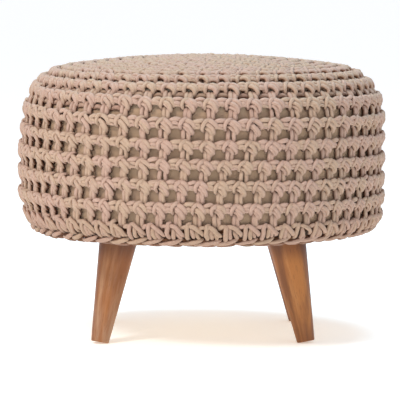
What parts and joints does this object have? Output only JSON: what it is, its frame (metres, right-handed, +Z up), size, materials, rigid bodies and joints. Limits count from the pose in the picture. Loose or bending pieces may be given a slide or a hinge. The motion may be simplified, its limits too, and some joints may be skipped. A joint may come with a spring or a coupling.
{
  "type": "footstool",
  "caption": "Round drum footstool: a padded seat in a chunky openwork crocheted cover, on splayed tapered wooden legs.",
  "frame": {"origin": "on the floor, under the middle of the seat", "axes": "+Z up, -Y towards the front, +X to the right as seen from the front"},
  "size_m": [0.5, 0.5, 0.3782],
  "materials": {
    "yarn": "matt plied cotton cord, pinkish beige",
    "lining": "plain woven upholstery cloth, khaki beige",
    "plywood": "bare sanded plywood",
    "oiled_wood": "oiled mid-brown hardwood"
  },
  "bodies": {
    "root": {"cover": "yarn", "pad": "lining", "base": "plywood", "leg_front_left": "oiled_wood", "leg_front_right": "oiled_wood", "leg_back_left": "oiled_wood", "leg_back_right": "oiled_wood"}
  },
  "joints": []
}
